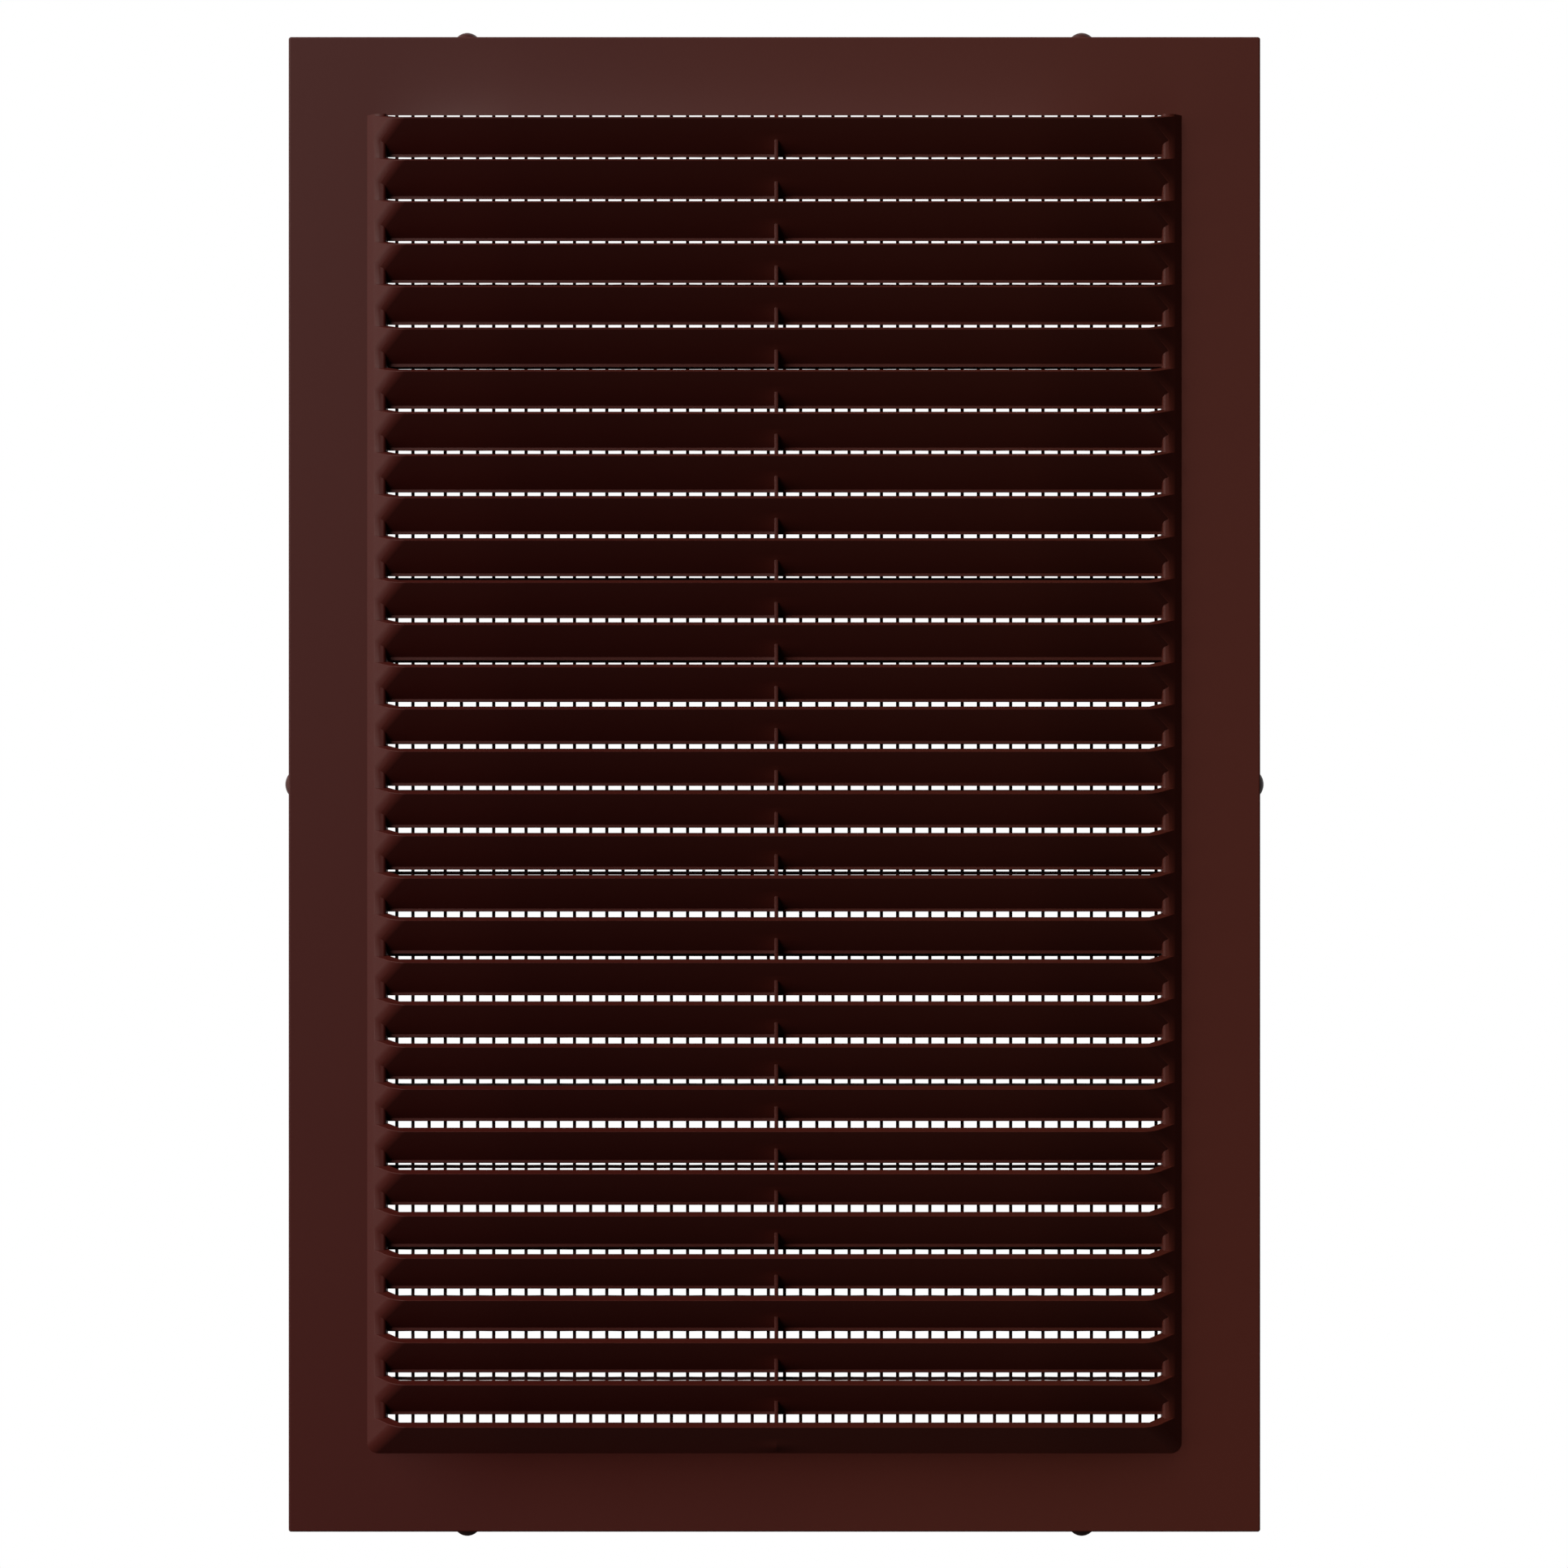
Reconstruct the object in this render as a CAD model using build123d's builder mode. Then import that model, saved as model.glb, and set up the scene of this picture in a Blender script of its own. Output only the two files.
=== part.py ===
"""Louvred ventilation grille for a wall duct, in millimetres.

A clip-on cover with upturned louvre hoods, a fine insect mesh behind them, and a frame that is
screwed to the wall. X runs to the right, Z up, and the front faces -Y. The wall is the plane
Y = 0, and the origin is the middle of the frame's back face.
"""
import os
from math import cos, radians, tan

from build123d import *

# Overall size
width = 195.0
height = 300.0
flange_reach = 12.0
block_border = 15.8

# Cover walls
sheet_wall = 1.8
skirt_wall = 1.5
skirt_wall_gap = 0.5
outer_corner_radius = 0.5
outer_edge_radius = 0.4

# Louvre hoods
nominal_pitch = 8.4
land_height = 0.6
mouth_tilt = 14.0
face_angle = 45.0
hood_wall = 1.77
hood_corner_radius = 3.0

# Side rails and middle rib
rail_width = 4.0
rail_reach = 2.0
rail_edge_radius = 0.6
rib_reach = 2.57
rib_width = 0.8
rib_shift = 0.4

# Insect mesh
strand = 0.6
mesh_pitch = 3.25
mesh_border = 1.6
mesh_shift = 0.4
mesh_play = 0.1

# Mounting frame
frame_clearance = 0.3
frame_plate = 2.0
rim_wall = 1.5
collar_wall = 2.0
aperture_margin = 1.2
aperture_rise = 2.8
screw_hole_radius = 2.25
screw_inset = 18.2

# Snap buttons and the windows they show through
button_radius = 2.65
end_button_rise = 1.73
side_button_rise = 1.28
button_reach = 6.8
button_inset = 35.5
window_clearance = 0.25

# Worked out from the sizes above
block_width = width - 2 * block_border
block_height = height - 2 * block_border
block_top = block_height / 2
opening_width = block_width - 2 * rail_width
louvre_count = round((block_height + land_height) / nominal_pitch)
louvre_pitch = (block_height + land_height) / louvre_count
mouth_slope = tan(radians(mouth_tilt))
face_slope = tan(radians(face_angle))
hood_height = louvre_pitch - land_height
lip_reach = hood_height / (face_slope + mouth_slope)
lip_drop = lip_reach * mouth_slope
lip_thickness = hood_wall / cos(radians(face_angle)) / (face_slope + mouth_slope)
cavity_reach = lip_reach - lip_thickness
bevel_wall = hood_wall / cos(radians(face_angle))
sheet_back = flange_reach - sheet_wall
root = sheet_wall / 2
overcut = 1.0
skirt_inner_width = width - 2 * skirt_wall
skirt_inner_height = height - 2 * skirt_wall
frame_width = skirt_inner_width - 2 * frame_clearance
frame_height = skirt_inner_height - 2 * frame_clearance
aperture_width = opening_width + 2 * aperture_margin
aperture_height = block_height + 2 * aperture_rise
screw_spacing_x = (aperture_width + frame_width) / 2 + collar_wall - rim_wall
screw_spacing_z = frame_height - 2 * screw_inset
button_spacing = width - 2 * button_inset
mesh_seat = sheet_back - mesh_play - strand
mesh_columns = int(aperture_width / mesh_pitch) + 1
mouths = [block_top - n * louvre_pitch for n in range(louvre_count)]

section = Plane(origin=(0, -flange_reach, 0), x_dir=(0, -1, 0), z_dir=(-1, 0, 0))
plan = Plane(origin=(0, -flange_reach, 0), x_dir=(1, 0, 0), z_dir=(0, 0, -1))


def is_hood_corner(edge):
    """Tell whether an edge is a hood's corner, which runs across, out and down at once."""
    tangent = edge.tangent_at(0.5)
    return abs(tangent.X) > 0.4 and abs(tangent.Z) > 0.4


def runs_in_depth(edge):
    """Tell whether an edge is straight and runs from the wall to the front."""
    return edge.geom_type == GeomType.LINE and abs(edge.tangent_at(0.5).Y) > 0.99


def snap_button(rise):
    """Build a short round stud with a domed end, pointing along Z from the rim."""
    stud_height = frame_clearance + skirt_wall
    with BuildPart() as button:
        with BuildSketch(Plane.XZ):
            with BuildLine():
                dome = TangentArc((0, stud_height + rise), (button_radius, stud_height), tangent=(1, 0))
                Polyline(dome @ 1, (button_radius, -rim_wall / 2), (0, -rim_wall / 2), dome @ 0)
            make_face()
        revolve(axis=Axis.Z)
    return button.part


os.makedirs("parts", exist_ok=True)

# One louvre hood, solid, with its mouth's front edge at the top and its root in the sheet
with BuildPart() as hood:
    with BuildSketch(section):
        with BuildLine():
            Polyline(
                (-root, 0),
                (0, 0),
                (lip_reach, -lip_drop),
                (-root, -hood_height - root * face_slope),
                close=True,
            )
        make_face()
    extrude(amount=block_width / 2 + root, both=True)
    with BuildSketch(plan):
        with BuildLine():
            Polyline(
                (-block_width / 2 - root, -root),
                (block_width / 2 + root, -root),
                (block_width / 2 - lip_reach, lip_reach),
                (-block_width / 2 + lip_reach, lip_reach),
                close=True,
            )
        make_face()
    extrude(amount=hood_height + root * face_slope, mode=Mode.INTERSECT)
    fillet(hood.edges().filter_by(is_hood_corner), radius=hood_corner_radius)

# The air space inside one hood, from its mouth through the sheet
with BuildPart() as cavity:
    cavity_back = sheet_wall + overcut
    bevel_start = rail_width - bevel_wall
    with BuildSketch(section):
        with BuildLine():
            Polyline(
                (cavity_reach, -cavity_reach * mouth_slope),
                (-cavity_back, cavity_back * mouth_slope),
                (-cavity_back, -cavity_reach * mouth_slope - (cavity_reach + cavity_back) * face_slope),
                close=True,
            )
        make_face()
    extrude(amount=opening_width / 2, both=True)
    with BuildSketch(plan.offset(-cavity_back)):
        with BuildLine():
            Polyline(
                (-opening_width / 2, -cavity_back),
                (opening_width / 2, -cavity_back),
                (opening_width / 2, bevel_start),
                (block_width / 2 - bevel_wall - lip_reach, lip_reach),
                (-block_width / 2 + bevel_wall + lip_reach, lip_reach),
                (-opening_width / 2, bevel_start),
                close=True,
            )
        make_face()
    extrude(amount=hood_height + 2 * cavity_back, mode=Mode.INTERSECT)

# Cover: flat border and skirt, louvre block, rails, rib and button windows
with BuildPart() as grille_cover:
    with BuildSketch(Plane.XZ.offset(skirt_wall_gap)):
        Rectangle(width, height)
    extrude(amount=flange_reach - skirt_wall_gap)
    fillet(grille_cover.edges().filter_by(runs_in_depth), radius=outer_corner_radius)
    fillet(grille_cover.faces().sort_by(Axis.Y)[0].edges(), radius=outer_edge_radius)
    with BuildSketch(Plane.XZ.offset(skirt_wall_gap)):
        Rectangle(skirt_inner_width, skirt_inner_height)
    extrude(amount=sheet_back - skirt_wall_gap, mode=Mode.SUBTRACT)
    with Locations(*[(0, 0, mouth) for mouth in mouths]):
        add(hood.part)
    with BuildSketch(plan.offset(-block_top)):
        with BuildLine():
            Polyline(
                (opening_width / 2, -root),
                (block_width / 2 + root, -root),
                (block_width / 2 - rail_reach, rail_reach),
                (opening_width / 2, rail_reach),
                close=True,
            )
        make_face()
        fillet(vertices().sort_by(Axis.Y)[-2:].sort_by(Axis.X)[-1], radius=rail_edge_radius)
        mirror(about=Plane.YZ)
    extrude(amount=block_top - mouths[-1] + lip_drop)
    with Locations(*[(0, 0, mouth) for mouth in mouths]):
        add(cavity.part, mode=Mode.SUBTRACT)
    with BuildSketch(section.offset(-rib_shift)):
        rib_top = block_top + land_height / 2
        rib_end = mouths[-1] - hood_height / 2
        with BuildLine():
            Polyline(
                (-sheet_wall, rib_top + land_height),
                (0, rib_top),
                (rib_reach, rib_top - rib_reach * face_slope),
                (rib_reach, rib_end),
                (-sheet_wall, rib_end),
                close=True,
            )
        make_face()
    extrude(amount=rib_width / 2, both=True)
    with BuildSketch(Plane.XY.offset(-height / 2)):
        with GridLocations(button_spacing, 0, 2, 1):
            with Locations((0, -button_reach)):
                Circle(button_radius + window_clearance)
    extrude(amount=height, mode=Mode.SUBTRACT)
    with BuildSketch(Plane.YZ.offset(-width / 2)):
        with Locations((-button_reach, 0)):
            Circle(button_radius + window_clearance)
    extrude(amount=width, mode=Mode.SUBTRACT)

grille_cover.part.label = "grille_cover"
export_step(grille_cover.part, "parts/grille_cover.step")

# Insect mesh: upright strands at their true pitch in a plain border
with BuildPart() as insect_mesh:
    with BuildSketch(Plane.XZ.offset(mesh_seat)):
        Rectangle(aperture_width + 2 * mesh_border, aperture_height + 2 * mesh_border)
        with Locations((mesh_shift, 0)):
            with GridLocations(mesh_pitch, 0, mesh_columns, 1):
                Rectangle(mesh_pitch - strand, aperture_height, mode=Mode.SUBTRACT)
    extrude(amount=strand)

insect_mesh.part.label = "insect_mesh"
export_step(insect_mesh.part, "parts/insect_mesh.step")

# Mounting frame: wall plate with rim and collar, screw holes and six snap buttons
with BuildPart() as mounting_frame:
    with BuildSketch(Plane.XZ):
        Rectangle(frame_width, frame_height)
        Rectangle(aperture_width, aperture_height, mode=Mode.SUBTRACT)
        with GridLocations(screw_spacing_x, screw_spacing_z, 2, 2):
            Circle(screw_hole_radius, mode=Mode.SUBTRACT)
    extrude(amount=frame_plate)
    with BuildSketch(Plane.XZ.offset(frame_plate)):
        Rectangle(frame_width, frame_height)
        Rectangle(frame_width - 2 * rim_wall, frame_height - 2 * rim_wall, mode=Mode.SUBTRACT)
    extrude(amount=mesh_seat - frame_plate)
    with BuildSketch(Plane.XZ.offset(frame_plate)):
        Rectangle(aperture_width + 2 * collar_wall, aperture_height + 2 * collar_wall)
        Rectangle(aperture_width, aperture_height, mode=Mode.SUBTRACT)
    extrude(amount=mesh_seat - frame_plate)
    for side in (1, -1):
        for place in (-button_spacing / 2, button_spacing / 2):
            with Locations(Location((place, -button_reach, side * frame_height / 2), (0, 90 - 90 * side, 0))):
                add(snap_button(end_button_rise))
        with Locations(Location((side * frame_width / 2, -button_reach, 0), (0, 90 * side, 0))):
            add(snap_button(side_button_rise))

mounting_frame.part.label = "mounting_frame"
export_step(mounting_frame.part, "parts/mounting_frame.step")
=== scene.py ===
"""Looks of the louvred ventilation grille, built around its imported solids, in metres.

A clip-on cover of dark brown moulded plastic, a woven insect net behind it, and the frame that is
screwed to the wall. X runs to the right, Z up, and the front faces -Y. The wall is the plane Y = 0.
"""
import logging
import math
from collections.abc import Callable
from dataclasses import dataclass, replace
from enum import Enum

import bpy
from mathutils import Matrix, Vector


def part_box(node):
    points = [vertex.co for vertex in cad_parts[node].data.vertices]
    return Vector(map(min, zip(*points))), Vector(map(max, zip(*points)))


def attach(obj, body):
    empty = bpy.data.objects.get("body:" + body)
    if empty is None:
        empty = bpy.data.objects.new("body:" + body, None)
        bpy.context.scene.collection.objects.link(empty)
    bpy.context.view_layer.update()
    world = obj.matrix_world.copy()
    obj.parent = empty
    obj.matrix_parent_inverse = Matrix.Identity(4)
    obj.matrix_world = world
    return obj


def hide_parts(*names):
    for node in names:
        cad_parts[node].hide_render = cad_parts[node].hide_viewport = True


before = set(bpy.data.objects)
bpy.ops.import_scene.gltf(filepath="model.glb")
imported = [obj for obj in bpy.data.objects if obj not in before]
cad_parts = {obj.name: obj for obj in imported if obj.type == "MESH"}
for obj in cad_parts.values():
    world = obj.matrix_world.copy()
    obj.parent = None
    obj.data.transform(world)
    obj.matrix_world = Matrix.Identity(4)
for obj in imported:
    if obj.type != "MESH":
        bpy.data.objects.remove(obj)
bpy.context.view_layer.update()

log = logging.getLogger("ventilation_grille")

PHOTO_PX = 1932
# From the wall to the front of the cover's flat border
FLANGE_REACH = 0.012
WHITE = (1.0, 1.0, 1.0, 1.0)
# A noise texture's middle value, and how far most of it strays from there
NOISE_MIDDLE = 0.5
NOISE_REACH = 0.2

Colour = tuple[float, float, float]
Place = tuple[float, float, float]
Piece = bpy.types.Object
Socket = bpy.types.NodeSocket


class StrandRun(Enum):
    """The way a net strand runs, as the index of its axis."""

    ACROSS = 0
    UPRIGHT = 2


class NodeGraph:
    """A material's or world's shader nodes, with short calls to add and join them."""

    def __init__(self, tree: bpy.types.NodeTree) -> None:
        """Take over a node tree and empty it.

        Args:
            tree: The node tree of a material or a world.
        """
        self.tree = tree
        tree.nodes.clear()

    def add(
        self, kind: str, sockets: dict[str | int, object] | None = None, **settings: object
    ) -> bpy.types.Node:
        """Add one node.

        Args:
            kind: The node's type, such as ShaderNodeMath.
            sockets: Values or output sockets by input name or number.
            settings: The node's own properties.

        Returns:
            The new node.
        """
        node = self.tree.nodes.new(kind)
        for name, value in settings.items():
            setattr(node, name, value)
        for name, value in (sockets or {}).items():
            if isinstance(value, Socket):
                self.tree.links.new(value, node.inputs[name])
            else:
                node.inputs[name].default_value = value
        return node

    def math(self, operation: str, *values: object, clamp: bool = False) -> Socket:
        """Add a math node.

        Args:
            operation: The math operation's name.
            values: Numbers or output sockets, in order.
            clamp: Whether the result is held between 0 and 1.

        Returns:
            The node's output.
        """
        sockets = dict(enumerate(values))
        return self.add("ShaderNodeMath", sockets, operation=operation, use_clamp=clamp).outputs[0]

    def spread(self, value: Socket, low: float, high: float, to_low: float, to_high: float) -> Socket:
        """Map a value smoothly from one range to another.

        Args:
            value: The output socket that is mapped.
            low: The value that gives to_low.
            high: The value that gives to_high.
            to_low: The result at low and beyond.
            to_high: The result at high and beyond.

        Returns:
            The mapped output.
        """
        sockets = {0: value, 1: low, 2: high, 3: to_low, 4: to_high}
        return self.add("ShaderNodeMapRange", sockets, interpolation_type="SMOOTHSTEP").outputs[0]


@dataclass(frozen=True)
class MouldedFinish:
    """Satin moulded plastic with a fine grain, a faint cloudiness, and painted light that shifts its colour
    from left to right.

    Attributes:
        name: The material's name.
        colour: The colour at the left, linear.
        right_painted_light_and_cloud: The colour at the right, linear, painted in from left to right as
            light on the cover and as darkening on the frame and the net; the faint clouds mix it in too.
        roughness: The middle roughness at the left and the right.
        roughness_play: How far the roughness strays either way.
        grain: The size of the moulded grain, in metres.
        grain_height: How far the grain stands out, in metres.
        cloud_size: The size of the clouds, in metres.
        gloss: The strength of the reflection, as the shader's specular level.
        cloud_share: How strongly the clouds mix the two colours.
        painted_light_and_roughness_reach: How far from the middle the painted shift of colour and the shift
            of roughness from left to right end.
    """

    name: str
    colour: Colour
    right_painted_light_and_cloud: Colour
    roughness: tuple[float, float]
    roughness_play: float
    grain: float
    grain_height: float
    cloud_size: float
    gloss: float
    cloud_share: float = 0.4
    painted_light_and_roughness_reach: float = 0.09

    def material(self) -> bpy.types.Material:
        """Make the material.

        Returns:
            The new material.
        """
        made = bpy.data.materials.new(self.name)
        made.use_nodes = True
        graph = NodeGraph(made.node_tree)
        place = graph.add("ShaderNodeTexCoord").outputs["Object"]
        grain = graph.add(
            "ShaderNodeTexNoise",
            {"Vector": place, "Scale": 1 / self.grain, "Detail": 3.0, "Roughness": 0.6},
        ).outputs["Fac"]
        clouds = graph.add(
            "ShaderNodeTexNoise", {"Vector": place, "Scale": 1 / self.cloud_size, "Detail": 2.0}
        ).outputs["Fac"]
        across = graph.add("ShaderNodeSeparateXYZ", {0: place}).outputs["X"]
        # Painted light: from left to right the colour shifts towards the right-hand colour, and the
        # roughness changes with it.
        painted_light_and_roughness_drift = graph.spread(across, -self.painted_light_and_roughness_reach, self.painted_light_and_roughness_reach, 0.0, 1.0)
        stray = graph.math("SUBTRACT", clouds, NOISE_MIDDLE)
        cloud_and_painted_light_share = graph.math("MULTIPLY_ADD", stray, self.cloud_share, painted_light_and_roughness_drift, clamp=True)
        colour = graph.add(
            "ShaderNodeMix",
            {0: cloud_and_painted_light_share, 6: (*self.colour, 1.0), 7: (*self.right_painted_light_and_cloud, 1.0)},
            data_type="RGBA",
        )
        left, right = self.roughness
        play = graph.spread(
            grain,
            NOISE_MIDDLE - NOISE_REACH,
            NOISE_MIDDLE + NOISE_REACH,
            left - self.roughness_play,
            left + self.roughness_play,
        )
        roughness = graph.math("MULTIPLY_ADD", painted_light_and_roughness_drift, right - left, play)
        relief = self.relief(graph, place, grain)
        bump = graph.add("ShaderNodeBump", {"Strength": 1.0, "Distance": 1.0, "Height": relief})
        surface = graph.add(
            "ShaderNodeBsdfPrincipled",
            {
                "Base Color": colour.outputs[2],
                "Roughness": roughness,
                "Specular IOR Level": self.gloss,
                "Normal": bump.outputs["Normal"],
            },
        )
        graph.add("ShaderNodeOutputMaterial", {"Surface": surface.outputs["BSDF"]})
        return made

    def relief(self, graph: NodeGraph, place: Socket, grain: Socket) -> Socket:
        """Give the height of the surface's fine forms, in metres.

        Args:
            graph: The material's nodes.
            place: The place on the object; not used here.
            grain: The moulded grain, from 0 to 1.

        Returns:
            The height's output.
        """
        return graph.math("MULTIPLY", grain, self.grain_height)


@dataclass(frozen=True, kw_only=True)
class CoverFinish(MouldedFinish):
    """Moulded plastic that is shaded as if it swelled above and below the block and beside the rib.

    Attributes:
        block_swell: Height of the swelling above and below the block.
        block_fade: How far from the block it fades.
        corner_fade: How far from the block's corners it starts.
        rib_swell: Height of the swelling at the rib.
        rib_fade: How far from the rib it fades.
        block: Half the louvre block's width and height, which the cover gives.
        rib_place: X of the rib's middle, which the cover gives.
        rib_front: Y of the rib's front, which the cover gives.
    """

    block_swell: float
    block_fade: float
    corner_fade: float
    rib_swell: float
    rib_fade: float
    block: tuple[float, float] = (0.0, 0.0)
    rib_place: float = 0.0
    rib_front: float = 0.0

    def relief(self, graph: NodeGraph, place: Socket, grain: Socket) -> Socket:
        """Give the height of the grain and both swellings, in metres.

        Args:
            graph: The material's nodes.
            place: The place on the object.
            grain: The moulded grain, from 0 to 1.

        Returns:
            The height's output.
        """
        axes = graph.add("ShaderNodeSeparateXYZ", {0: place}).outputs
        aside, above = (graph.math("ABSOLUTE", axes[axis]) for axis in "XZ")
        side, top = self.block
        height = graph.spread(aside, side - self.corner_fade, side, self.block_swell, 0.0)
        beyond = graph.math("MAXIMUM", graph.math("SUBTRACT", above, top), 0.0)
        swell = self.faded(graph, beyond, self.block_fade, height)
        to_rib = graph.math("ABSOLUTE", graph.math("SUBTRACT", axes["X"], self.rib_place))
        start, end = self.rib_front - self.rib_fade / 2, self.rib_front + self.rib_fade
        behind_rib = graph.spread(axes["Y"], start, end, 0.0, self.rib_swell)
        on_block = graph.spread(above, top - self.rib_fade, top, 1.0, 0.0)
        height = graph.math("MULTIPLY", behind_rib, on_block)
        swell = graph.math("ADD", swell, self.faded(graph, to_rib, self.rib_fade, height))
        return graph.math("ADD", swell, super().relief(graph, place, grain))

    @staticmethod
    def faded(graph: NodeGraph, distance: Socket, fade: float, height: Socket) -> Socket:
        """Let a height fade with a distance."""
        share = graph.math("EXPONENT", graph.math("DIVIDE", distance, -fade))
        return graph.math("MULTIPLY", share, height)


COVER_FINISH = CoverFinish(
    name="cover_plastic",
    colour=(0.043, 0.0028, 0.0010),
    # Painted light: the right-hand colour is lighter, standing in for light that the lamps from the left
    # don't give the right side.
    right_painted_light_and_cloud=(0.053, 0.0064, 0.0024),
    roughness=(0.56, 0.61),
    roughness_play=0.04,
    grain=0.0004,
    grain_height=0.000004,
    cloud_size=0.03,
    gloss=0.25,
    block_swell=0.0013,
    block_fade=0.0055,
    corner_fade=0.03,
    rib_swell=0.0006,
    rib_fade=0.0022,
)
FRAME_FINISH = MouldedFinish(
    name="frame_plastic",
    colour=(0.044, 0.0052, 0.003),
    # The right-hand colour is a little darker, so the frame is painted darker towards the right.
    right_painted_light_and_cloud=(0.040, 0.0046, 0.0026),
    roughness=(0.5, 0.5),
    roughness_play=0.05,
    grain=0.0006,
    grain_height=0.000006,
    cloud_size=0.025,
    gloss=0.3,
)
NET_FINISH = MouldedFinish(
    name="net_strands",
    colour=(0.026, 0.0036, 0.0022),
    # The right-hand colour is a little darker, so the net is painted darker towards the right.
    right_painted_light_and_cloud=(0.022, 0.003, 0.0018),
    roughness=(0.55, 0.55),
    roughness_play=0.05,
    grain=0.0003,
    grain_height=0.000003,
    cloud_size=0.004,
    gloss=0.25,
)


def deselect_all() -> None:
    """Leave edit mode and select nothing."""
    if bpy.context.object and bpy.context.object.mode != "OBJECT":
        bpy.ops.object.mode_set(mode="OBJECT")
    bpy.ops.object.select_all(action="DESELECT")


def make_active(piece: Piece) -> None:
    """Select one object alone and make it the active one.

    Args:
        piece: The object.
    """
    deselect_all()
    piece.select_set(True)
    bpy.context.view_layer.objects.active = piece


def apply_modifier(piece: Piece, kind: str, **settings: object) -> None:
    """Add a modifier to an object and apply it.

    Args:
        piece: The object.
        kind: The modifier's type.
        settings: The modifier's properties.
    """
    make_active(piece)
    modifier = piece.modifiers.new(kind.lower(), kind)
    for name, value in settings.items():
        setattr(modifier, name, value)
    bpy.ops.object.modifier_apply(modifier=modifier.name)


def apply_place(piece: Piece) -> None:
    """Put an object's place, turn and scale into its mesh.

    Args:
        piece: The object.
    """
    make_active(piece)
    bpy.ops.object.transform_apply(location=True, rotation=True, scale=True)


def add_box(low: Place, high: Place) -> Piece:
    """Add a box between two corners, to be shaped further.

    Args:
        low: Its lowest corner.
        high: Its highest corner.

    Returns:
        The box, with its place in its mesh.
    """
    deselect_all()
    middle = (Vector(low) + Vector(high)) / 2
    bpy.ops.mesh.primitive_cube_add(size=1, location=middle)
    box = bpy.context.object
    box.scale = Vector(high) - Vector(low)
    apply_place(box)
    return box


def select_parts(piece: Piece, mode: str, chosen: Callable[[bpy.types.Mesh], list]) -> None:
    """Select vertices, edges or faces, and go into edit mode.

    Args:
        piece: The object.
        mode: VERT, EDGE or FACE.
        chosen: A function that gives the mesh's parts to select.
    """
    make_active(piece)
    bpy.ops.object.mode_set(mode="EDIT")
    bpy.ops.mesh.select_mode(type=mode)
    bpy.ops.mesh.select_all(action="DESELECT")
    bpy.ops.object.mode_set(mode="OBJECT")
    for part in chosen(piece.data):
        part.select = True
    bpy.ops.object.mode_set(mode="EDIT")


def select_vertices(piece: Piece, test: Callable[[Vector], bool]) -> None:
    """Select the vertices whose place passes a test, and go into edit mode.

    Args:
        piece: The object.
        test: A function of a vertex's place.
    """
    select_parts(piece, "VERT", lambda mesh: [vertex for vertex in mesh.vertices if test(vertex.co)])


def select_edges(piece: Piece, test: Callable[[Vector, Vector], bool]) -> None:
    """Select the edges whose two ends pass a test, and go into edit mode.

    Args:
        piece: The object.
        test: A function of the places of an edge's ends.
    """
    places = [vertex.co.copy() for vertex in piece.data.vertices]

    def chosen(mesh: bpy.types.Mesh) -> list[bpy.types.MeshEdge]:
        """List the edges that pass the test."""
        return [edge for edge in mesh.edges if test(*(places[end] for end in edge.vertices))]

    select_parts(piece, "EDGE", chosen)


def select_faces(piece: Piece, test: Callable[[bpy.types.MeshPolygon], bool]) -> None:
    """Select the faces that pass a test, and go into edit mode.

    Args:
        piece: The object.
        test: A function of a face.
    """
    select_parts(piece, "FACE", lambda mesh: [face for face in mesh.polygons if test(face)])


def bevel_edges(
    piece: Piece, test: Callable[[Vector, Vector], bool], offset: float, segments: int
) -> None:
    """Round the edges whose two ends pass a test.

    Args:
        piece: The object.
        test: A function of the places of an edge's ends.
        offset: From an edge to where its rounding starts, on the faces beside it.
        segments: Number of faces across the rounding.
    """
    select_edges(piece, test)
    bpy.ops.mesh.bevel(
        offset=offset, offset_type="OFFSET", segments=segments, affect="EDGES", clamp_overlap=False
    )
    bpy.ops.object.mode_set(mode="OBJECT")


def cut_through(piece: Piece, place: Place, normal: Place, clear: bool = False) -> None:
    """Cut an object along a plane.

    Args:
        piece: The object.
        place: A point of the plane.
        normal: The plane's normal.
        clear: Whether what lies beyond the plane is taken away and the cut closed.
    """
    make_active(piece)
    bpy.ops.object.mode_set(mode="EDIT")
    bpy.ops.mesh.select_all(action="SELECT")
    bpy.ops.mesh.bisect(plane_co=place, plane_no=normal, clear_outer=clear, use_fill=clear)
    bpy.ops.object.mode_set(mode="OBJECT")


def combine(piece: Piece, tool: Piece, operation: str) -> None:
    """Join another shape to an object or cut it out, and remove the other shape.

    Args:
        piece: The object that stays.
        tool: The other shape.
        operation: UNION or DIFFERENCE.
    """
    apply_modifier(piece, "BOOLEAN", object=tool, operation=operation, solver="MANIFOLD")
    bpy.data.objects.remove(tool)


def heal(piece: Piece, gap: float, flat: float = 0.5) -> None:
    """Merge vertices that almost touch, and take away needle faces and flat seams.

    Args:
        piece: The object.
        gap: The largest distance that is merged.
        flat: The sharpest seam that counts as flat, in degrees.
    """
    make_active(piece)
    bpy.ops.object.mode_set(mode="EDIT")
    bpy.ops.mesh.select_all(action="SELECT")
    bpy.ops.mesh.remove_doubles(threshold=gap)
    bpy.ops.mesh.dissolve_degenerate(threshold=gap)
    bpy.ops.mesh.dissolve_limited(angle_limit=math.radians(flat))
    bpy.ops.object.mode_set(mode="OBJECT")


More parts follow.
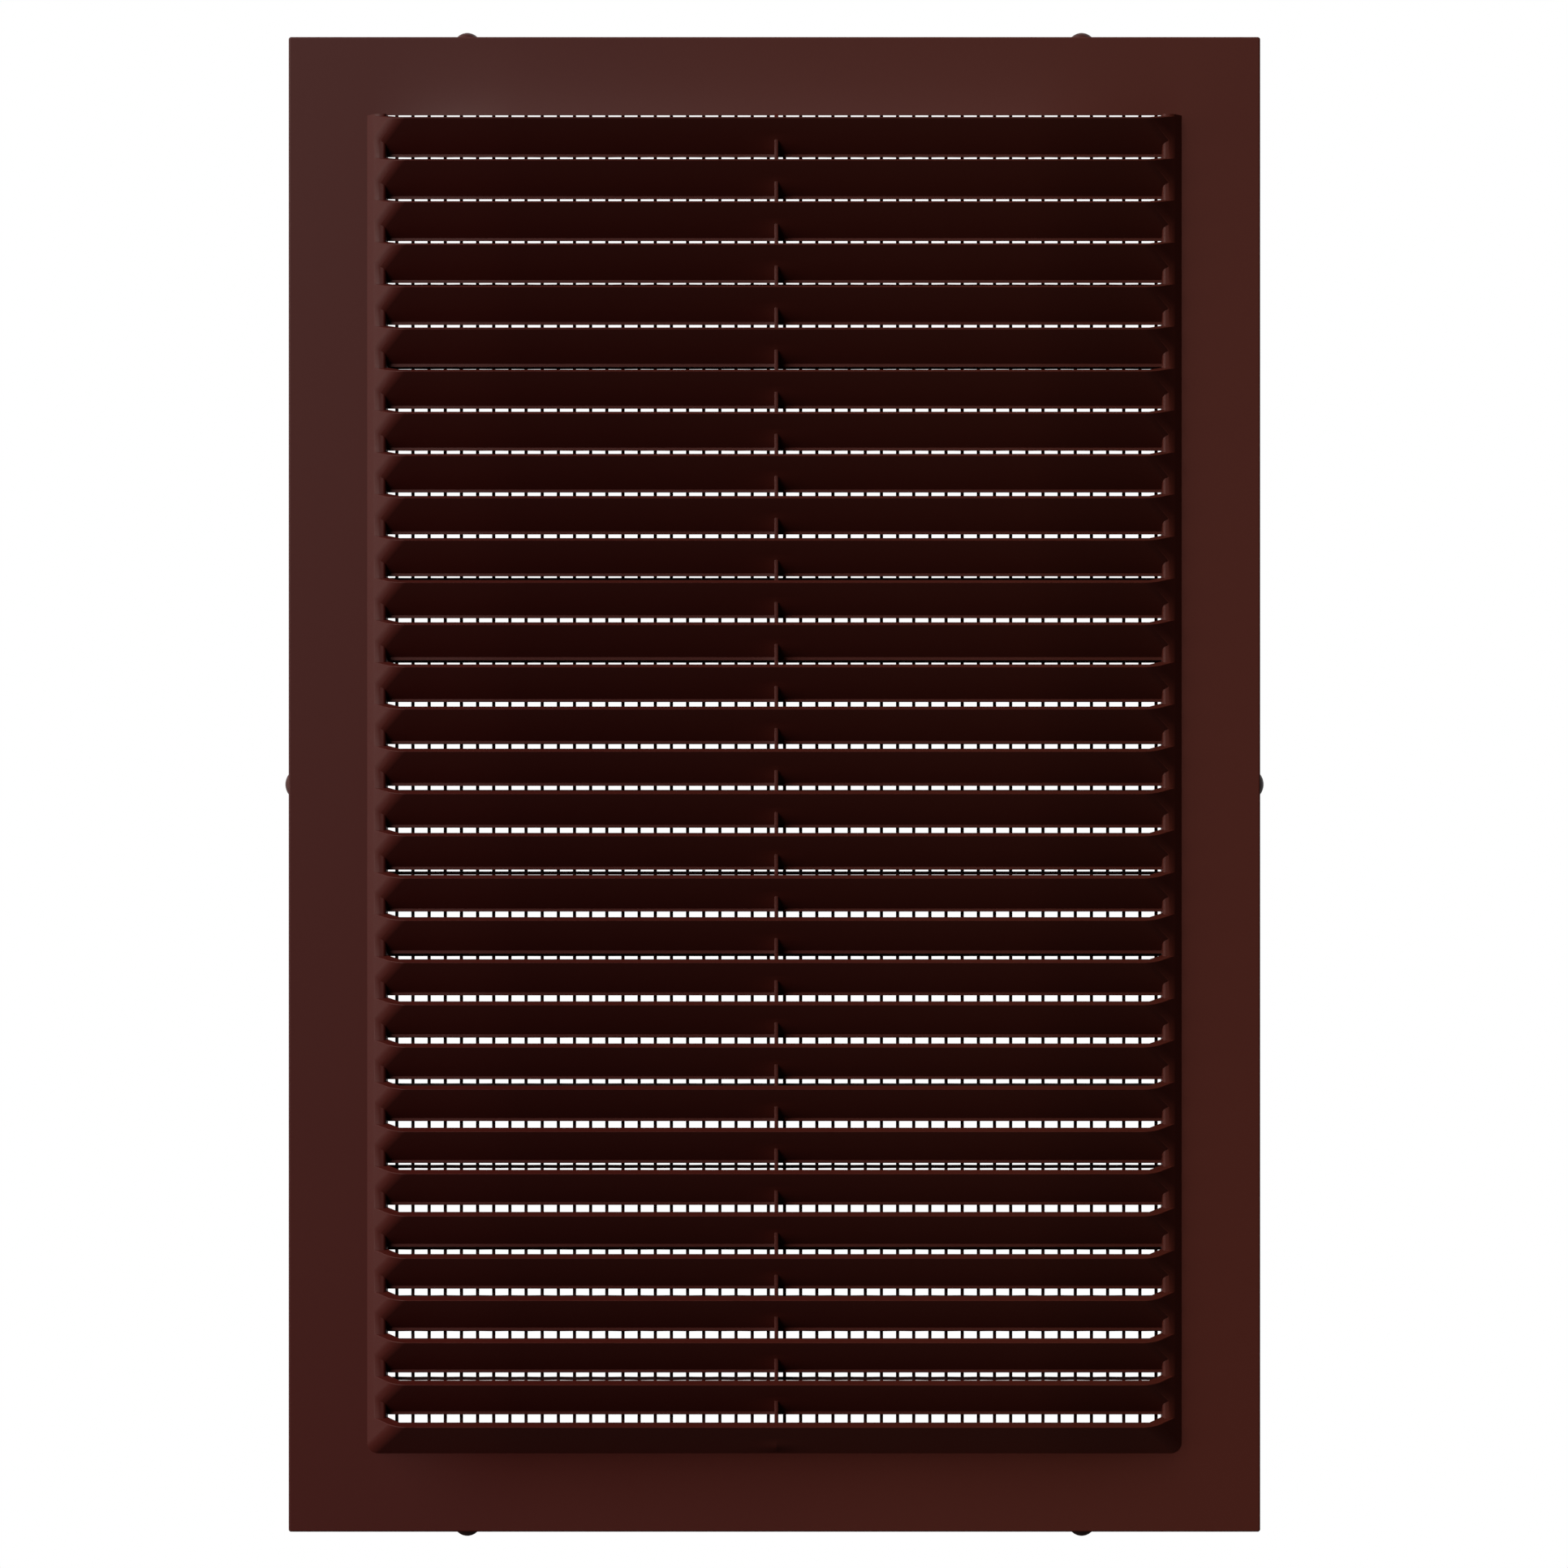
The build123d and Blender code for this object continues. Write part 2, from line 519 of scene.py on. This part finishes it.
def smooth(piece: Piece, angle: float = 35.0) -> None:
    """Shade an object smooth, with its flat faces flat and its corners crisp.

    Args:
        piece: The object.
        angle: The steepest edge that is smoothed, in degrees.
    """
    make_active(piece)
    bpy.ops.object.shade_smooth_by_angle(angle=math.radians(angle))
    apply_modifier(piece, "WEIGHTED_NORMAL", keep_sharp=True)


def join(name: str, parts: list[Piece]) -> Piece:
    """Join objects into one.

    Args:
        name: The joined object's name.
        parts: The objects.

    Returns:
        The joined object.
    """
    make_active(parts[0])
    for part in parts[1:]:
        part.select_set(True)
    bpy.ops.object.join()
    parts[0].name = name
    parts[0].data.name = name
    return parts[0]


def coat(piece: Piece, material: bpy.types.Material) -> None:
    """Give an object one material.

    Args:
        piece: The object.
        material: The material.
    """
    piece.data.materials.clear()
    piece.data.materials.append(material)


@dataclass
class LouvreCover:
    """Moulded cover: flat border with a skirt, hooded louvres, two side rails and a middle rib.

    Attributes:
        block_border: Width of the flat border.
        sheet_wall: Thickness of the border's sheet.
        skirt_wall: Thickness of the skirt.
        corner_radius: Radius of the cover's four corners.
        edge_radius: Radius round the border's outer edge.
        edge_segments: Number of faces across the two roundings above.
        louvre_count: Number of louvres.
        land_height: Height of the flat strip between two louvres.
        mouth_tilt: Fall of a louvre's mouth towards the front, in degrees.
        hood_wall: Thickness of a hood's wall.
        hood_turn: Angle between the normals of a hood's face and its bevelled ends, in degrees.
        hood_corner_radius: Radius of a hood's slanted corners.
        hood_corner_segments: Number of faces across such a corner.
        lip_radius: Radius of a lip's edges.
        lip_segments: Number of faces across the roundings of the lips and the rib.
        rail_width: From the block's side to the opening.
        rail_reach: How far a rail stands out of the border.
        rail_turn: Angle between the normals of a rail's front and its bevel, in degrees.
        rail_outer_radius: Radius of a rail's outer edge.
        rail_inner_radius: Radius of a rail's inner edge.
        rail_segments: Number of faces across the outer and the inner edge's rounding.
        rib_width: Width of the middle rib.
        rib_reach: How far the rib stands out of the border.
        rib_shift: X of the rib's middle.
        rib_radius: Radius of the rib's front edges.
        window_radius: Radius of the round windows for the snap buttons.
        window_reach: From the wall to the middle of a window.
        window_inset: From the cover's side to the windows in its top and bottom.
        window_sides: Number of faces round a window.
        bite: How far joined shapes reach into each other.
        hair: How far apart faces are kept that would else lie in one plane.
        close: The distance at which two places count as one.
    """

    block_border: float = 0.0158
    sheet_wall: float = 0.0018
    skirt_wall: float = 0.0015
    corner_radius: float = 0.0005
    edge_radius: float = 0.0004
    edge_segments: int = 5
    louvre_count: int = 32
    land_height: float = 0.0006
    mouth_tilt: float = 14.0
    hood_wall: float = 0.0021
    hood_turn: float = 60.0
    hood_corner_radius: float = 0.003
    hood_corner_segments: int = 10
    lip_radius: float = 0.00012
    lip_segments: int = 4
    rail_width: float = 0.004
    rail_reach: float = 0.002
    rail_turn: float = 45.0
    rail_outer_radius: float = 0.002
    rail_inner_radius: float = 0.0007
    rail_segments: tuple[int, int] = (8, 6)
    rib_width: float = 0.0008
    rib_reach: float = 0.00257
    rib_shift: float = 0.0004
    rib_radius: float = 0.0002
    window_radius: float = 0.0029
    window_reach: float = 0.0068
    window_inset: float = 0.0355
    window_sides: int = 48
    bite: float = 0.0002
    hair: float = 0.00002
    close: float = 0.00001

    def __post_init__(self) -> None:
        """Take the box of the cover's solid and work out the louvres' sizes from it."""
        self.low, self.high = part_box("grille_cover")
        self.block_side = self.high.x - self.block_border
        self.block_top = self.high.z - self.block_border
        self.pitch = (2 * self.block_top + self.land_height) / self.louvre_count
        self.mouth_slope = math.tan(math.radians(self.mouth_tilt))
        self.lip_reach = (self.pitch - self.land_height) / (1 + self.mouth_slope)
        self.wall_across = self.hood_wall * math.sqrt(2)
        self.cavity_reach = self.lip_reach - self.wall_across / (1 + self.mouth_slope)
        self.opening_side = self.block_side - self.rail_width

    def build(self) -> Piece:
        """Model the cover where its solid is.

        Returns:
            The cover, as one closed mesh.
        """
        cover = self.shell()
        combine(cover, self.down_the_block(self.hood()), "UNION")
        for side in (1, -1):
            combine(cover, self.rail(side), "UNION")
        combine(cover, self.down_the_block(self.cavity()), "DIFFERENCE")
        combine(cover, self.rib(), "UNION")
        for window in self.windows():
            combine(cover, window, "DIFFERENCE")
        heal(cover, self.close)
        cover.name = "louvre_cover"
        cover.data.name = "louvre_cover"
        return cover

    @staticmethod
    def front(depth: float) -> float:
        """Give Y of a place that stands out of the border's front by some depth."""
        return -FLANGE_REACH - depth

    def shell(self) -> Piece:
        """Model the flat border and its skirt, with the pocket behind them.

        Returns:
            The shell.
        """
        shell = add_box((self.low.x, self.front(0), self.low.z), self.high)
        segments = self.edge_segments
        bevel_edges(shell, lambda a, b: abs(a.y - b.y) > self.sheet_wall, self.corner_radius, segments)
        bevel_edges(shell, lambda a, b: max(a.y, b.y) < self.front(-self.bite), self.edge_radius, segments)
        select_faces(shell, lambda face: face.normal.y > 0.9)
        bpy.ops.mesh.inset(thickness=self.skirt_wall)
        pocket = self.front(-self.sheet_wall) - self.high.y
        bpy.ops.mesh.extrude_region_move(TRANSFORM_OT_translate={"value": (0, pocket, 0)})
        bpy.ops.object.mode_set(mode="OBJECT")
        return shell

    def wedge(
        self, depths: tuple[float, float], heights: tuple[float, float, float], side: float
    ) -> Piece:
        """Model a wedge that narrows to the front at 45 degrees on both sides.

        Args:
            depths: Depths of its back and of its front edge.
            heights: Z of its back's lower edge, of its back's upper edge and of its front edge.
            side: Half its width at depth 0.

        Returns:
            The wedge.
        """
        back, tip = depths
        wedge = add_box((-1, self.front(tip), heights[0]), (1, self.front(back), heights[1]))
        for is_tip, depth in ((True, tip), (False, back)):
            select_vertices(wedge, lambda co: (co.y < self.front((tip + back) / 2)) == is_tip)
            bpy.ops.transform.resize(value=(side - depth, 1, 1), center_override=(0, 0, 0))
            if is_tip:
                bpy.ops.transform.resize(value=(1, 1, 0), center_override=(0, 0, heights[2]))
                bpy.ops.mesh.remove_doubles(threshold=self.close)
            bpy.ops.object.mode_set(mode="OBJECT")
        return wedge

    def hood(self) -> Piece:
        """Model the first louvre's hood, solid, with rounded corners and lip.

        Returns:
            The hood.
        """
        heights = (
            self.block_top - self.pitch + self.land_height - self.bite,
            self.block_top + self.bite * self.mouth_slope,
            self.block_top - self.lip_reach * self.mouth_slope,
        )
        hood = self.wedge((-self.bite, self.lip_reach), heights, self.block_side)
        corner = self.hood_corner_radius * math.tan(math.radians(self.hood_turn / 2))
        bevel_edges(hood, self.is_hood_corner, corner, self.hood_corner_segments)
        bevel_edges(hood, self.is_on_mouth, self.lip_radius, self.lip_segments)
        return hood

    @staticmethod
    def is_hood_corner(a: Vector, b: Vector) -> bool:
        """Tell whether an edge runs across and down at once."""
        way = (b - a).normalized()
        return abs(way.x) > 0.4 and abs(way.z) > 0.4

    def is_on_mouth(self, a: Vector, b: Vector) -> bool:
        """Tell whether an edge of the first hood lies in its mouth, in front of the border.

        Args:
            a: Place of the edge's one end.
            b: Place of its other end.

        Returns:
            Whether it does.
        """
        rises = [co.z - self.block_top - (co.y - self.front(0)) * self.mouth_slope for co in (a, b)]
        stands_out = min(a.y, b.y) < self.front(0)
        return stands_out and max(abs(rise) for rise in rises) < self.close

    def cavity(self) -> Piece:
        """Model the first louvre's air space, from above its mouth through the sheet.

        Returns:
            The air space, as a shape to cut out.
        """
        back = -self.sheet_wall - self.bite
        lift = self.land_height / 2
        tip = self.cavity_reach + lift
        tip_height = self.block_top - self.cavity_reach * self.mouth_slope + lift
        heights = (tip_height - tip + back, self.block_top - back * self.mouth_slope, tip_height)
        cavity = self.wedge((back, tip), heights, self.block_side - self.wall_across)
        for side in (1, -1):
            cut_through(cavity, (side * self.opening_side, 0, 0), (side, 0, 0), clear=True)
        cut_through(cavity, (0, self.front(0), 0), (0, 1, 0))
        select_vertices(
            cavity, lambda co: abs(co.y - self.front(0)) < self.close and co.z > self.block_top
        )
        bpy.ops.transform.resize(value=(1, 1, 0), center_override=(0, 0, self.block_top))
        bpy.ops.object.mode_set(mode="OBJECT")
        return cavity

    def down_the_block(self, first: Piece) -> Piece:
        """Repeat the first louvre's shape for every louvre below it.

        Args:
            first: The first louvre's shape.

        Returns:
            The same object, with all the shapes.
        """
        apply_modifier(
            first, "ARRAY", count=self.louvre_count, use_relative_offset=False, use_constant_offset=True,
            constant_offset_displace=(0, 0, -self.pitch),
        )
        return first

    def rail(self, side: int) -> Piece:
        """Model the upright rail at the louvres' ends.

        Args:
            side: 1 for the right rail and -1 for the left.

        Returns:
            The rail.
        """
        foot = self.block_top - (self.louvre_count - 1) * self.pitch - self.lip_reach * self.mouth_slope
        inner = self.opening_side - self.hair
        rail = add_box(
            (inner, self.front(self.rail_reach), foot),
            (self.block_side + self.bite, self.front(-self.bite), self.block_top),
        )
        select_vertices(rail, lambda co: co.y < self.front(0) and co.x > self.block_side)
        bpy.ops.transform.translate(value=(-self.rail_reach - self.bite, 0, 0))
        bpy.ops.object.mode_set(mode="OBJECT")
        outer = self.rail_outer_radius * math.tan(math.radians(self.rail_turn / 2))
        middle = inner + self.rail_reach / 4
        segments = self.rail_segments
        bevel_edges(rail, lambda a, b: self.is_rail_front(a, b) and a.x > middle, outer, segments[0])
        bevel_edges(
            rail,
            lambda a, b: self.is_rail_front(a, b) and a.x < middle,
            self.rail_inner_radius,
            segments[1],
        )
        if side < 0:
            rail.scale = (-1, 1, 1)
            apply_place(rail)
            bpy.ops.object.mode_set(mode="EDIT")
            bpy.ops.mesh.select_all(action="SELECT")
            bpy.ops.mesh.normals_make_consistent(inside=False)
            bpy.ops.object.mode_set(mode="OBJECT")
        return rail

    def is_rail_front(self, a: Vector, b: Vector) -> bool:
        """Tell whether an edge runs the whole way down a rail's front."""
        in_front = max(a.y, b.y) < self.front(self.rail_reach - self.hair)
        return in_front and abs(a.z - b.z) > self.block_top

    def rib(self) -> Piece:
        """Model the thin upright rib that crosses every mouth.

        Returns:
            The rib.
        """
        top = self.block_top + self.land_height / 2
        foot = self.block_top - (self.louvre_count - 0.5) * self.pitch
        back = -self.sheet_wall + self.hair
        half = self.rib_width / 2
        rib = add_box(
            (self.rib_shift - half, self.front(self.rib_reach), foot),
            (self.rib_shift + half, self.front(back), top - back),
        )
        select_vertices(rib, lambda co: co.z > 0 and co.y < self.front(0))
        bpy.ops.transform.translate(value=(0, 0, back - self.rib_reach))
        bpy.ops.object.mode_set(mode="OBJECT")
        bevel_edges(
            rib,
            lambda a, b: abs(a.z - b.z) > self.block_top and max(a.y, b.y) < self.front(0),
            self.rib_radius,
            self.lip_segments,
        )
        return rib

    def windows(self) -> list[Piece]:
        """Model the round bars that cut the windows for the snap buttons.

        Returns:
            Two upright bars and one that lies across, all longer than the cover.
        """
        upright = [(side * (self.high.x - self.window_inset), (0, 0, 0)) for side in (1, -1)]
        length = 3 * self.block_top
        bars = []
        for x, turn in [*upright, (0, (0, math.pi / 2, 0))]:
            deselect_all()
            bpy.ops.mesh.primitive_cylinder_add(
                vertices=self.window_sides, radius=self.window_radius, depth=length,
                location=(x, -self.window_reach, 0), rotation=turn,
            )
            bars.append(bpy.context.object)
            apply_place(bars[-1])
        return bars

    def dress(self, cover: Piece) -> None:
        """Dress the cover and set it in place of its solid.

        Args:
            cover: The cover.
        """
        fitted = replace(
            COVER_FINISH,
            block=(self.block_side, self.block_top),
            rib_place=self.rib_shift,
            rib_front=self.front(self.rib_reach),
        )
        coat(cover, fitted.material())
        smooth(cover)
        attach(cover, "root")
        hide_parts("grille_cover")


@dataclass
class InsectNet:
    """Plain-woven net of flattened strands in a pressed border, behind the louvres.

    Attributes:
        strand_width: A strand's width, seen from the front.
        upright_pitch: From one upright to the next.
        cross_pitch: From one cross strand to the next.
        upright_place: X of one of the uprights.
        cross_place: Z of one of the cross strands.
        border: Width of the pressed border.
        sides: Sides of a strand's section.
        crease: The steepest edge that is shaded smooth, in degrees.
    """

    strand_width: float = 0.00076
    upright_pitch: float = 0.00325
    cross_pitch: float = 0.00328
    upright_place: float = 0.002025
    cross_place: float = -0.00143
    border: float = 0.0016
    sides: int = 6
    crease: float = 65.0

    def __post_init__(self) -> None:
        """Take the box of the net's solid."""
        self.low, self.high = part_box("insect_mesh")
        self.middle = (self.low + self.high) / 2
        self.thickness = self.high.y - self.low.y

    def build(self) -> Piece:
        """Model the net where its solid is.

        Returns:
            The net, as one object.
        """
        pitches = {StrandRun.UPRIGHT: self.cross_pitch, StrandRun.ACROSS: self.upright_pitch}
        places = {StrandRun.UPRIGHT: self.cross_place, StrandRun.ACROSS: self.upright_place}
        parts = [self.pressed_border()]
        for run, other in ((StrandRun.UPRIGHT, StrandRun.ACROSS), (StrandRun.ACROSS, StrandRun.UPRIGHT)):
            for odd in (0, 1):
                strand = self.strand(run, pitches[run], places[run], odd)
                parts.append(self.spread_out(strand, other, pitches[other], places[other], odd))
        return join("insect_net", parts)

    def strand(self, run: StrandRun, pitch: float, place: float, odd: int) -> Piece:
        """Model one whole strand that passes over and under those it crosses.

        Args:
            run: The way the strand runs.
            pitch: From one crossing to the next along it.
            place: Where one of the crossings is.
            odd: 1 for a strand whose weave is one crossing later.

        Returns:
            The strand, trimmed to the net's box.
        """
        axis = run.value
        turn = (0, math.pi / 2, 0) if run is StrandRun.ACROSS else (0, 0, 0)
        start = math.floor((self.low[axis] - place) / pitch / 2) * 2 - 2 + odd
        centre = Vector((0, self.middle.y, 0))
        centre[axis] = place + (start + 1) * pitch
        deselect_all()
        bpy.ops.mesh.primitive_cylinder_add(
            vertices=self.sides, radius=self.strand_width / 2, depth=2 * pitch, end_fill_type="NOTHING",
            location=centre, rotation=turn,
        )
        strand = bpy.context.object
        apply_place(strand)
        flatness = self.thickness / 2 / self.strand_width
        bpy.ops.object.mode_set(mode="EDIT")
        bpy.ops.mesh.select_all(action="SELECT")
        bpy.ops.transform.resize(value=(1, flatness, 1), center_override=centre)
        bpy.ops.object.mode_set(mode="OBJECT")
        lift = self.thickness / 4 * (1 if run is StrandRun.UPRIGHT else -1)
        select_vertices(strand, lambda co: abs(co[axis] - centre[axis]) > pitch / 2)
        bpy.ops.transform.translate(value=(0, -lift, 0))
        bpy.ops.object.mode_set(mode="OBJECT")
        select_edges(strand, lambda a, b: abs(a[axis] - b[axis]) > pitch)
        bpy.ops.mesh.subdivide(number_cuts=1)
        bpy.ops.object.mode_set(mode="OBJECT")
        select_vertices(strand, lambda co: abs(co[axis] - centre[axis]) < pitch / 2)
        bpy.ops.transform.translate(value=(0, 2 * lift, 0))
        bpy.ops.object.mode_set(mode="OBJECT")
        step = Vector((0, 0, 0))
        step[axis] = 2 * pitch
        count = math.ceil((self.high[axis] - self.low[axis]) / pitch / 2) + 3
        apply_modifier(
            strand, "ARRAY", count=count, use_relative_offset=False, use_constant_offset=True,
            constant_offset_displace=step, use_merge_vertices=True, merge_threshold=self.strand_width / 100,
        )
        self.trim(strand, axis)
        return strand

    def trim(self, strand: Piece, axis: int) -> None:
        """Cut a strand off at both ends of the net and close its ends.

        Args:
            strand: The strand.
            axis: The axis that it runs along.
        """
        for end, side in ((self.low, -1), (self.high, 1)):
            normal = Vector((0, 0, 0))
            normal[axis] = side
            cut_through(strand, end, normal, clear=True)

    def spread_out(
        self, strand: Piece, across: StrandRun, pitch: float, place: float, odd: int
    ) -> Piece:
        """Repeat a strand over every second place across the net.

        Args:
            strand: The strand.
            across: The way that the places follow each other.
            pitch: From one place to the next.
            place: One of the places.
            odd: 1 to take the places between.

        Returns:
            The strands, as one object.
        """
        axis = across.value
        half = self.strand_width / 2
        first = math.ceil((self.low[axis] + half - place) / pitch)
        first += (first + odd) % 2
        last = math.floor((self.high[axis] - half - place) / pitch)
        strand.location[axis] = place + first * pitch
        apply_place(strand)
        step = Vector((0, 0, 0))
        step[axis] = 2 * pitch
        apply_modifier(
            strand, "ARRAY", count=(last - first) // 2 + 1, use_relative_offset=False,
            use_constant_offset=True, constant_offset_displace=step,
        )
        return strand

    def pressed_border(self) -> Piece:
        """Model the flat border that holds the strands' ends.

        Returns:
            The border.
        """
        deselect_all()
        bpy.ops.mesh.primitive_plane_add(size=1, location=self.middle, rotation=(math.pi / 2, 0, 0))
        border = bpy.context.object
        border.scale = (self.high.x - self.low.x, self.high.z - self.low.z, 1)
        apply_place(border)
        bpy.ops.object.mode_set(mode="EDIT")
        bpy.ops.mesh.select_all(action="SELECT")
        bpy.ops.mesh.inset(thickness=self.border)
        bpy.ops.mesh.delete(type="FACE")
        bpy.ops.object.mode_set(mode="OBJECT")
        apply_modifier(border, "SOLIDIFY", thickness=self.thickness, offset=0.0)
        apply_modifier(border, "BEVEL", width=self.thickness / 5, segments=2, limit_method="ANGLE")
        return border

    def dress(self, net: Piece) -> None:
        """Dress the net and set it in place of its solid.

        Args:
            net: The net.
        """
        coat(net, NET_FINISH.material())
        make_active(net)
        bpy.ops.object.shade_smooth_by_angle(angle=math.radians(self.crease))
        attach(net, "root")
        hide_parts("insect_mesh")


@dataclass
class MountingFrame:
    """Frame that is screwed to the wall, with its edges eased as moulded edges are.

    Attributes:
        edge_radius: Radius of its edges.
        crease: The flattest edge that is eased, in degrees.
    """

    edge_radius: float = 0.0002
    crease: float = 40.0

    def build(self) -> Piece:
        """Model the frame from its solid's surface.

        Returns:
            The frame.
        """
        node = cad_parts["mounting_frame"]
        wall_frame = bpy.data.objects.new("wall_frame", node.data.copy())
        wall_frame.data.name = "wall_frame"
        wall_frame.data.transform(node.matrix_world)
        bpy.context.scene.collection.objects.link(wall_frame)
        heal(wall_frame, self.edge_radius / 50)
        apply_modifier(
            wall_frame, "BEVEL", width=self.edge_radius, segments=3, limit_method="ANGLE",
            angle_limit=math.radians(self.crease),
        )
        return wall_frame

    def dress(self, wall_frame: Piece) -> None:
        """Dress the frame and set it in place of its solid.

        Args:
            wall_frame: The frame.
        """
        coat(wall_frame, FRAME_FINISH.material())
        smooth(wall_frame)
        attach(wall_frame, "root")
        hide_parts("mounting_frame")


@dataclass
class Studio:
    """Camera, soft lamps, pale floor and white background.

    Attributes:
        focal_px: The lens's focal length in the photo's pixels.
        view_distance: From the camera to the flat border.
        centre_px: The object's middle in the photo.
        lamp_colour: Colour of the lamps, a little warm.
        floor_height: Z of the floor.
        floor_size: Side of the floor.
        floor_colour: Colour by which the floor lights the object.
        front_level: The world's light from the front.
        back_level: The world's light from behind.
        back_turn: Where the world's light starts and ends to change, as Y of the direction.
    """

    focal_px: float = 4680.0
    view_distance: float = 0.762
    centre_px: tuple[float, float] = (954.2, 966.5)
    lamp_colour: Colour = (1.0, 0.97, 0.91)
    floor_height: float = -1.8
    floor_size: float = 8.0
    floor_colour: Colour = (0.1, 0.1, 0.1)
    front_level: float = 0.03
    back_level: float = 1.0
    back_turn: tuple[float, float] = (0.2, 0.6)

    def build(self) -> None:
        """Set up the camera, the lamps, the floor and the world."""
        self.camera()
        self.lamp("key_lamp", place=(-2.4, -3.1, 2.4), size=2.2, power=156.0)
        self.lamp("top_lamp", place=(-1.6, -1.6, 3.0), size=1.6, power=45.0)
        self.lamp("left_lamp", place=(-3.0, -2.8, 1.4), size=2.0, power=69.0)
        self.lamp("side_lamp", place=(-3.7, -0.7, 0.4), size=2.0, power=44.0)
        self.floor()
        self.world()
        bpy.context.scene.view_settings.view_transform = "Standard"

    def camera(self) -> None:
        """Stand the camera square in front of the object."""
        data = bpy.data.cameras.new("camera")
        data.sensor_width = 36.0
        data.lens = data.sensor_width * self.focal_px / PHOTO_PX
        camera = bpy.data.objects.new("camera", data)
        bpy.context.scene.collection.objects.link(camera)
        metres_per_px = self.view_distance / self.focal_px
        camera.location = (
            (PHOTO_PX / 2 - self.centre_px[0]) * metres_per_px,
            -FLANGE_REACH - self.view_distance,
            (self.centre_px[1] - PHOTO_PX / 2) * metres_per_px,
        )
        camera.rotation_euler = (math.pi / 2, 0, 0)
        bpy.context.scene.camera = camera

    def lamp(self, name: str, place: Place, size: float, power: float) -> None:
        """Add a soft square lamp that points at the object.

        Args:
            name: The lamp's name.
            place: Where it stands.
            size: Its side.
            power: Its power in watts.
        """
        data = bpy.data.lights.new(name, "AREA")
        data.size = size
        data.energy = power
        data.color = self.lamp_colour
        lamp = bpy.data.objects.new(name, data)
        bpy.context.scene.collection.objects.link(lamp)
        lamp.location = place
        lamp.rotation_euler = (-Vector(place)).to_track_quat("-Z", "Y").to_euler()

    def floor(self) -> None:
        """Lay the pale floor, which is white to the camera."""
        deselect_all()
        bpy.ops.mesh.primitive_plane_add(size=self.floor_size, location=(0, 0, self.floor_height))
        floor = bpy.context.object
        floor.name = "floor"
        material = bpy.data.materials.new("pale_floor")
        material.use_nodes = True
        graph = NodeGraph(material.node_tree)
        seen = graph.add("ShaderNodeLightPath").outputs["Is Camera Ray"]
        paint = graph.add("ShaderNodeBsdfDiffuse", {"Color": (*self.floor_colour, 1.0)})
        glow = graph.add("ShaderNodeEmission", {"Color": WHITE, "Strength": 1.0})
        surface = graph.add("ShaderNodeMixShader", {0: seen, 1: paint.outputs[0], 2: glow.outputs[0]})
        graph.add("ShaderNodeOutputMaterial", {"Surface": surface.outputs[0]})
        coat(floor, material)

    def world(self) -> None:
        """Make the world white to the camera, and a soft light that comes from behind."""
        world = bpy.data.worlds.new("studio")
        bpy.context.scene.world = world
        world.use_nodes = True
        graph = NodeGraph(world.node_tree)
        seen = graph.add("ShaderNodeLightPath").outputs["Is Camera Ray"]
        way = graph.add("ShaderNodeTexCoord").outputs["Generated"]
        depth = graph.add("ShaderNodeSeparateXYZ", {0: way}).outputs["Y"]
        level = graph.spread(depth, *self.back_turn, self.front_level, self.back_level)
        soft = graph.add("ShaderNodeBackground", {"Color": WHITE, "Strength": level})
        white = graph.add("ShaderNodeBackground", {"Color": WHITE, "Strength": 1.0})
        surface = graph.add("ShaderNodeMixShader", {0: seen, 1: soft.outputs[0], 2: white.outputs[0]})
        graph.add("ShaderNodeOutputWorld", {"Surface": surface.outputs[0]})


def main() -> None:
    """Build each sub-assembly in order, dress it and report it."""
    logging.basicConfig(level=logging.INFO, format="%(name)s: %(message)s")
    for part in (LouvreCover(), InsectNet(), MountingFrame()):
        piece = part.build()
        part.dress(piece)
        log.info("%s of %d faces", piece.name, len(piece.data.polygons))
    Studio().build()


if __name__ == "__main__":
    main()
